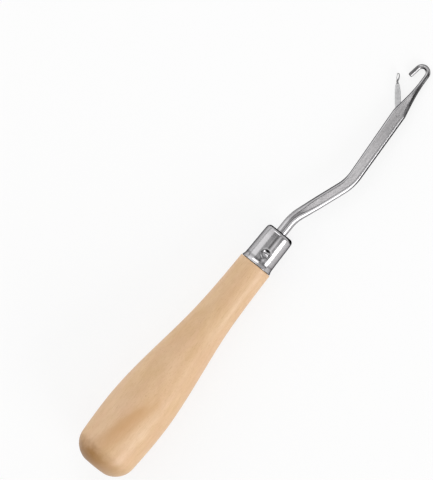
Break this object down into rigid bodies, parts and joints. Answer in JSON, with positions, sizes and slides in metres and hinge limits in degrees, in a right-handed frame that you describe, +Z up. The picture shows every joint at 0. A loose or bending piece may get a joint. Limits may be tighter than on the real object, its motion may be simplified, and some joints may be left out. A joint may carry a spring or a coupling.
{
  "type": "latch hook tool",
  "caption": "Rug-making latch hook: turned wooden handle, pressed ferrule, cranked steel shank with a hook, and a swinging latch that closes over the hook.",
  "frame": {"origin": "middle of the overall length and width, on the surface that the tool lies on", "axes": "+X from the butt towards the hook, +Y towards the side where the latch opens, +Z up; the tool lies on its side, resting on the handle's bulge and the hook, so its axis dips 4 degrees towards the hook"},
  "size_m": [0.1648, 0.021, 0.0217],
  "materials": {
    "handle_wood": "pale beech or birch, fine grain, thin satin lacquer",
    "ferrule_nickel": "bright nickel plate on pressed steel",
    "shank_steel": "plated steel, flats ground matt, edges bright",
    "latch_steel": "satin pressed sheet steel"
  },
  "bodies": {
    "body": {"handle": "handle_wood", "ferrule": "ferrule_nickel", "shank": "shank_steel", "latch_rivet": "shank_steel"},
    "latch": {"latch": "latch_steel"}
  },
  "joints": [
    {"name": "latch_pivot", "type": "hinge", "parent": "body", "child": "latch", "pos_m": [0.06442, -0.0057, 0.00194], "axis": [0.0693, 0, 0.9976], "range_deg": [-12.2, 110.3]}
  ]
}
